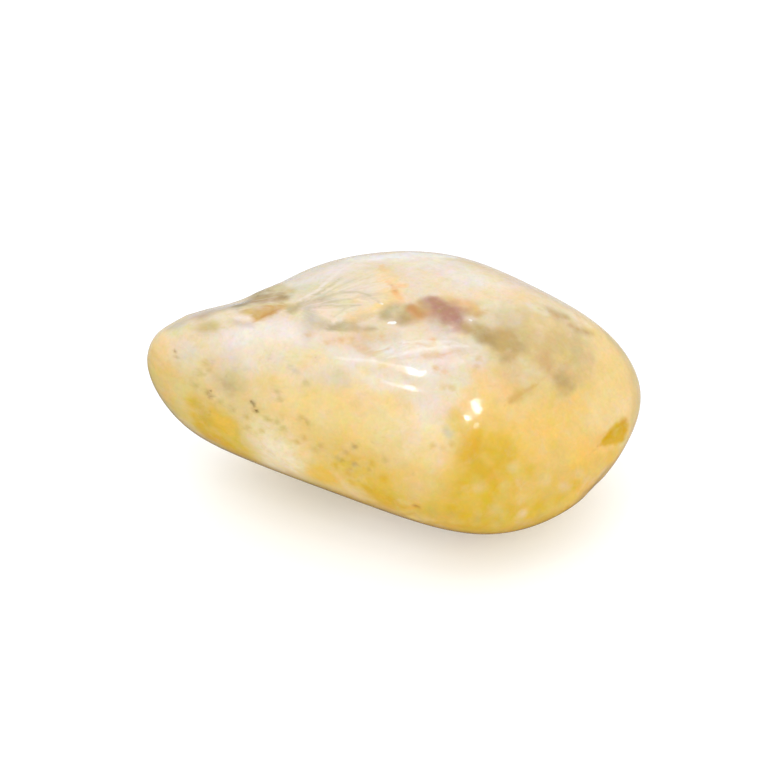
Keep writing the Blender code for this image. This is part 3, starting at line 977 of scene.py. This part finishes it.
def mark_nearness(points, path, laid, half):
    """How near points lie to a mark, which is widest in its middle, or a wedge at its end."""
    along = np.linspace(0, 1, len(path))
    if laid == "wedge":
        swell = WEDGE_POINT + (1 - WEDGE_POINT) * along
    else:
        swell = MARK_END + (1 - MARK_END) * np.sin(along * math.pi)
    return nearness(points, path, half * swell)


def lay_crisp(paint, field, colour, strength):
    """Lays a crisp mark where its field is higher than those of the crisp marks before it."""
    own = field > paint["crisp"]
    paint["crisp"][own] = field[own]
    paint["crisp_tint"][own] = (*colour, strength)


def lay_soft(paint, near, noises, laid, colour, strength, soft):
    """Lays an area for strands or specks, or a colour over the colours before it."""
    near = near + mixed(noises, FRAYS[laid])
    if laid in ("strands", "specks"):
        paint[laid] = np.maximum(paint[laid], smooth_step(near, -soft, soft) * strength)
        return
    cover = smooth_step(near, -soft / 2, soft / 2) * strength
    if laid != "plain":
        cover *= np.clip(PATCH_MEAN + mixed(noises, PATCH_SHARES), *PATCH_RANGE)
    paint["tint"] += (colour - paint["tint"]) * cover[:, None]


def paint_stone(stone, surface, settings):
    """Paints the stone's points: the quartz itself first, then each mark over it."""
    mesh = stone.data
    flat = np.empty(len(mesh.vertices) * 3, dtype=np.float32)
    mesh.vertices.foreach_get("co", flat)
    points = flat.reshape(-1, 3).astype(float)
    count = len(points)
    noises = {
        name: clouds_at(points, size * MM, octaves, seed)
        for name, (size, octaves, seed) in PAINT_NOISES.items()
    }
    paint = {
        "tint": quartz_colour(points, noises, settings),
        "crisp": np.full(count, FARTHEST_CRISP),
        "crisp_tint": np.ones((count, 4)),
        "strands": np.zeros(count),
        "specks": np.zeros(count),
    }
    for marks, place, step in (
        (HIDDEN_MARKS, place_on, GLOBE_STEP),
        (SEEN_MARKS, place_seen, PHOTO_STEP),
    ):
        for laid, name, strength, width, soft, *route in marks.values():
            half, colour = width * MM / 2, shade(settings, name)
            for path in mark_paths(surface, place, step, laid, route):
                near = mark_nearness(points, path, laid, half)
                if laid in ("crisp", "dots"):
                    lay_crisp(paint, near * half / (soft * MM), colour, strength)
                else:
                    lay_soft(paint, near, noises, laid, colour, strength, soft)
    tint = np.column_stack([paint["tint"], np.ones(count)])
    put_attribute(mesh, "tint", "FLOAT_COLOR", tint)
    put_attribute(mesh, "crisp", "FLOAT", np.clip(paint["crisp"], *CRISP_RANGE))
    put_attribute(mesh, "crisp_tint", "FLOAT_COLOR", paint["crisp_tint"])
    put_attribute(mesh, "grain", "FLOAT_VECTOR", fan_grain(points, surface))
    put_attribute(mesh, "stranded", "FLOAT", paint["strands"])
    put_attribute(mesh, "speckled", "FLOAT", paint["specks"])


def put_attribute(mesh, name, kind, values):
    """Stores values on the mesh's points under a name."""
    made = mesh.attributes.new(name, kind, "POINT")
    field = {"FLOAT": "value", "FLOAT_COLOR": "color", "FLOAT_VECTOR": "vector"}[kind]
    made.data.foreach_set(field, values.ravel())


# The stone's mesh


def smooth_copy(node, name, rounds):
    """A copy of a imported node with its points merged, its flat spot one face, made smooth."""
    work = bmesh.new()
    work.from_mesh(node.data)
    bmesh.ops.remove_doubles(work, verts=work.verts, dist=TINY)
    flat = [v for v in work.verts if v.co.z < TINY]
    rim = [e for e in work.edges if e.verts[0] in flat and e.verts[1] in flat]
    level = math.radians(0.5)
    bmesh.ops.dissolve_limit(work, angle_limit=level, verts=flat, edges=rim)
    mesh = bpy.data.meshes.new(name)
    work.to_mesh(mesh)
    work.free()
    mesh.shade_smooth()
    stone = new_object(name, mesh)
    rounding = stone.modifiers.new("Rounding", "SUBSURF")
    rounding.levels = rounding.render_levels = rounds
    return stone


def swells(tree, given, position):
    """How far the surface swells at a position, or dips where the value is below nought."""
    at = scaled(tree, position, maths(tree, "DIVIDE", 1.0, given["Wave Length"]))
    swell = maths(tree, "SUBTRACT", noise_at(tree, at, *SWELL_NOISE), MIDDLE)
    return maths(tree, "MULTIPLY", swell, given["Wave Height"])


def strewn_points(tree, given):
    """Points strewn over the surface, each with its pit's share of the widest pit."""
    spread = tree.nodes.new("GeometryNodeDistributePointsOnFaces")
    wire(tree, given["Geometry"], spread.inputs["Mesh"])
    wire(tree, maths(tree, "POWER", given["Pit Spacing"], -2.0), spread.inputs["Density"])
    wire(tree, given["Seed"], spread.inputs["Seed"])
    share = tree.nodes.new("FunctionNodeRandomValue")
    wire(tree, SMALLEST_PIT, share.inputs[2])
    wire(tree, 1.0, share.inputs[3])
    wire(tree, maths(tree, "ADD", given["Seed"], 1), share.inputs["Seed"])
    keep = tree.nodes.new("GeometryNodeStoreNamedAttribute")
    keep.data_type, keep.domain = "FLOAT", "POINT"
    keep.inputs["Name"].default_value = PIT_SHARE
    wire(tree, spread.outputs["Points"], keep.inputs["Geometry"])
    wire(tree, share.outputs[1], keep.inputs["Value"])
    return keep.outputs["Geometry"]


def value_at(tree, points, index, kind, value):
    """A value of the point that has this index."""
    node = tree.nodes.new("GeometryNodeSampleIndex")
    node.data_type, node.domain = kind, "POINT"
    wire(tree, points, node.inputs["Geometry"])
    wire(tree, value, node.inputs["Value"])
    wire(tree, index, node.inputs["Index"])
    return node.outputs[0]


def pits(tree, given, position):
    """How deep the pit of the nearest strewn point is at a position."""
    points = strewn_points(tree, given)
    nearest = tree.nodes.new("GeometryNodeSampleNearest")
    nearest.domain = "POINT"
    wire(tree, points, nearest.inputs["Geometry"])
    wire(tree, position, nearest.inputs["Sample Position"])
    own_share = tree.nodes.new("GeometryNodeInputNamedAttribute")
    own_share.data_type = "FLOAT"
    own_share.inputs["Name"].default_value = PIT_SHARE
    own_place = tree.nodes.new("GeometryNodeInputPosition").outputs[0]
    index = nearest.outputs["Index"]
    share = value_at(tree, points, index, "FLOAT", own_share.outputs["Attribute"])
    centre = value_at(tree, points, index, "FLOAT_VECTOR", own_place)
    apart = vectors(tree, "LENGTH", vectors(tree, "SUBTRACT", position, centre))
    reach = maths(tree, "MULTIPLY", share, maths(tree, "DIVIDE", given["Pit Width"], 2.0))
    bowl = between(tree, maths(tree, "DIVIDE", apart, reach), 1.0, 0.0)
    return maths(tree, "MULTIPLY", maths(tree, "MULTIPLY", bowl, share), given["Pit Depth"])


def wear_tree():
    """Swells the surface a little and presses small pits into it, all over and at random."""
    tree = bpy.data.node_groups.new("Tumbler wear", "GeometryNodeTree")
    sockets = {"Geometry": "NodeSocketGeometry", **WEAR_INPUTS, "Finish": "NodeSocketMaterial"}
    for title, kind in sockets.items():
        tree.interface.new_socket(title, in_out="INPUT", socket_type=kind)
    tree.interface.new_socket("Geometry", in_out="OUTPUT", socket_type="NodeSocketGeometry")
    add = tree.nodes.new
    given, made = add("NodeGroupInput").outputs, add("NodeGroupOutput").inputs
    position = add("GeometryNodeInputPosition").outputs[0]
    normal = add("GeometryNodeInputNormal").outputs[0]

    # The flat spot and its rim stay as they are.
    free = between(tree, coordinate(tree, position, 2), *WEAR_HEIGHTS)
    worn = maths(tree, "SUBTRACT", swells(tree, given, position), pits(tree, given, position))
    offset = scaled(tree, normal, maths(tree, "MULTIPLY", worn, free))
    move = add("GeometryNodeSetPosition")
    wire(tree, given["Geometry"], move.inputs["Geometry"])
    wire(tree, offset, move.inputs["Offset"])
    real = add("GeometryNodeRealizeInstances")
    wire(tree, move.outputs[0], real.inputs[0])
    coat = add("GeometryNodeSetMaterial")
    wire(tree, real.outputs[0], coat.inputs["Geometry"])
    wire(tree, given["Finish"], coat.inputs["Material"])
    wire(tree, coat.outputs[0], made[0])
    return tree


def wear(stone, settings, finish):
    """Runs the wear tree over the stone and keeps the result as a plain mesh."""
    tree = wear_tree()
    modifier = stone.modifiers.new("Tumbler wear", "NODES")
    modifier.node_group = tree
    for item in tree.interface.items_tree:
        if item.name in WEAR_INPUTS:
            modifier[item.identifier] = getattr(settings, item.name.lower().replace(" ", "_"))
        elif item.name == "Finish":
            modifier[item.identifier] = finish
    graph = bpy.context.evaluated_depsgraph_get()
    mesh = bpy.data.meshes.new_from_object(stone.evaluated_get(graph))
    stone.modifiers.clear()
    rough = stone.data
    stone.data = mesh
    bpy.data.meshes.remove(rough)
    mesh.name = stone.name
    mesh.shade_smooth()


def press_dents(stone, surface):
    """Presses the dents into the stone along its normals."""
    points = np.array([v.co for v in stone.data.vertices])
    normals = np.array([v.normal for v in stone.data.vertices])
    for route, width, depth in DENTS.values():
        path = path_on(surface, place_seen, route, DENT_STEP)
        near = nearness(points, path, np.full(len(path), width * MM / 2))
        points -= normals * (smooth_step(near, 0.0, 1.0) * depth * MM)[:, None]
    stone.data.vertices.foreach_set("co", points.ravel())
    stone.data.update()


def keep_within(stone, node):
    """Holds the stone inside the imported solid's box."""
    low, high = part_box(node)
    for vertex in stone.data.vertices:
        for axis in range(3):
            vertex.co[axis] = min(max(vertex.co[axis], low[axis]), high[axis])


# The studio


def floor_paint(settings):
    """The floor's material, which glows a little and is dimmer to gloss."""
    paint = bpy.data.materials.new("Pale floor")
    paint.use_nodes = True
    tree = paint.node_tree
    shader = tree.nodes["Principled BSDF"]
    place = tree.nodes.new("ShaderNodeTexCoord").outputs["Object"]
    in_front = between(tree, coordinate(tree, place, 1), *DIM_PLACES, *DIM_SHARES)
    gloss = tree.nodes.new("ShaderNodeLightPath").outputs["Is Glossy Ray"]
    pale = rgba(settings.floor_colour)
    dim = rgba([DIM_COLOUR * c for c in settings.floor_colour])
    seen = blend(tree, maths(tree, "MULTIPLY", gloss, in_front), pale, dim)
    wire(tree, seen, shader.inputs["Base Color"])
    wire(tree, seen, shader.inputs["Emission Color"])
    shader.inputs["Emission Strength"].default_value = settings.floor_glow
    shader.inputs["Roughness"].default_value = 0.7
    return paint


def make_floor(settings):
    """A wide floor just below the stone."""
    mesh = bpy.data.meshes.new("floor")
    signs = ((-1, -1), (1, -1), (1, 1), (-1, 1))
    corners = [(x * FLOOR_REACH, y * FLOOR_REACH, FLOOR_LEVEL) for x, y in signs]
    mesh.from_pydata(corners, [], [(0, 1, 2, 3)])
    mesh.materials.append(floor_paint(settings))
    new_object("floor", mesh)


def make_sky(settings):
    """Soft light all round, which grows from the horizon to straight above."""
    world = bpy.data.worlds.new("Soft light all round")
    world.use_nodes = True
    tree = world.node_tree
    height = coordinate(tree, tree.nodes.new("ShaderNodeTexCoord").outputs["Generated"], 2)
    strength = between(tree, height, *SKY_HEIGHTS, settings.horizon, settings.overhead)
    background = tree.nodes["Background"]
    background.inputs["Color"].default_value = (1.0, 1.0, 1.0, 1.0)
    wire(tree, strength, background.inputs["Strength"])
    bpy.context.scene.world = world


def make_lamp(name, towards, size, power):
    """A rectangular lamp that hangs in a direction from the stone's heart and faces it."""
    light = bpy.data.lights.new(name, "AREA")
    light.shape = "RECTANGLE"
    light.size, light.size_y = (side * MM for side in size)
    light.energy = power
    light.color = LAMP_COLOUR
    lamp = new_object(name, light)
    towards = Vector(towards).normalized()
    lamp.location = HEART + towards * LAMP_DISTANCE
    lamp.rotation_euler = towards.to_track_quat("Z", "Y").to_euler()


def make_camera(settings):
    """The camera, which looks at the stone as the photograph does."""
    camera = new_object("camera", bpy.data.cameras.new("camera"))
    camera.data.lens = settings.lens
    camera.data.sensor_width = SENSOR
    camera.data.clip_start = NEAR_CLIP
    back = direction(math.degrees(settings.bearing), math.degrees(settings.height))
    camera.location = Vector(settings.aim) + back * settings.distance
    camera.rotation_euler = back.to_track_quat("Z", "Y").to_euler()
    bpy.context.scene.camera = camera


# The operators and the panel


class PEBBLE_OT_make_finish(Operator):
    """Makes the honey quartz material"""

    bl_idname = "pebble.make_finish"
    bl_label = "Make the Finish"

    def execute(self, context):
        make_finish(context.scene.pebble_finish)
        return {"FINISHED"}


class PEBBLE_OT_make_stone(Operator):
    """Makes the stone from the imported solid, worn and pitted"""

    bl_idname = "pebble.make_stone"
    bl_label = "Make the Stone"

    def execute(self, context):
        finish = bpy.data.materials.get(FINISH_NAME)
        if finish is None:
            raise RuntimeError("make the finish first")
        settings = context.scene.pebble_wear
        stone = smooth_copy(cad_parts["stone"], "pebble", settings.smoothing)
        wear(stone, settings, finish)
        surface = stone_surface()
        press_dents(stone, surface)
        keep_within(stone, "stone")
        paint_stone(stone, surface, context.scene.pebble_finish)
        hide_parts("stone")
        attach(stone, "root")
        return {"FINISHED"}


class PEBBLE_OT_make_studio(Operator):
    """Makes the floor, the light and the camera"""

    bl_idname = "pebble.make_studio"
    bl_label = "Make the Studio"

    def execute(self, context):
        settings = context.scene.pebble_studio
        make_floor(settings)
        make_sky(settings)
        for name, (towards, size, share) in LAMPS.items():
            make_lamp(name, towards, size, share * settings.lamps)
        make_camera(settings)
        context.scene.view_settings.view_transform = "Standard"
        return {"FINISHED"}


class PEBBLE_PT_workshop(Panel):
    """Holds the settings and the operators"""

    bl_label = "Pebble"
    bl_idname = "PEBBLE_PT_workshop"
    bl_space_type = "VIEW_3D"
    bl_region_type = "UI"
    bl_category = "Pebble"

    def draw(self, context):
        for group, operator in (
            ("pebble_finish", PEBBLE_OT_make_finish),
            ("pebble_wear", PEBBLE_OT_make_stone),
            ("pebble_studio", PEBBLE_OT_make_studio),
        ):
            box = self.layout.box()
            settings = getattr(context.scene, group)
            for name in type(settings).__annotations__:
                box.prop(settings, name)
            box.operator(operator.bl_idname)


GROUPS = {
    "pebble_wear": WearSettings,
    "pebble_finish": FinishSettings,
    "pebble_studio": StudioSettings,
}
CLASSES = (
    *GROUPS.values(),
    PEBBLE_OT_make_finish,
    PEBBLE_OT_make_stone,
    PEBBLE_OT_make_studio,
    PEBBLE_PT_workshop,
)


def register():
    for made in CLASSES:
        bpy.utils.register_class(made)
    for name, group in GROUPS.items():
        setattr(bpy.types.Scene, name, PointerProperty(type=group))


def unregister():
    for name in GROUPS:
        delattr(bpy.types.Scene, name)
    for made in reversed(CLASSES):
        bpy.utils.unregister_class(made)


def main():
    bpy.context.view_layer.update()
    register()
    bpy.ops.pebble.make_finish()
    bpy.ops.pebble.make_stone()
    bpy.ops.pebble.make_studio()


if __name__ == "__main__":
    main()
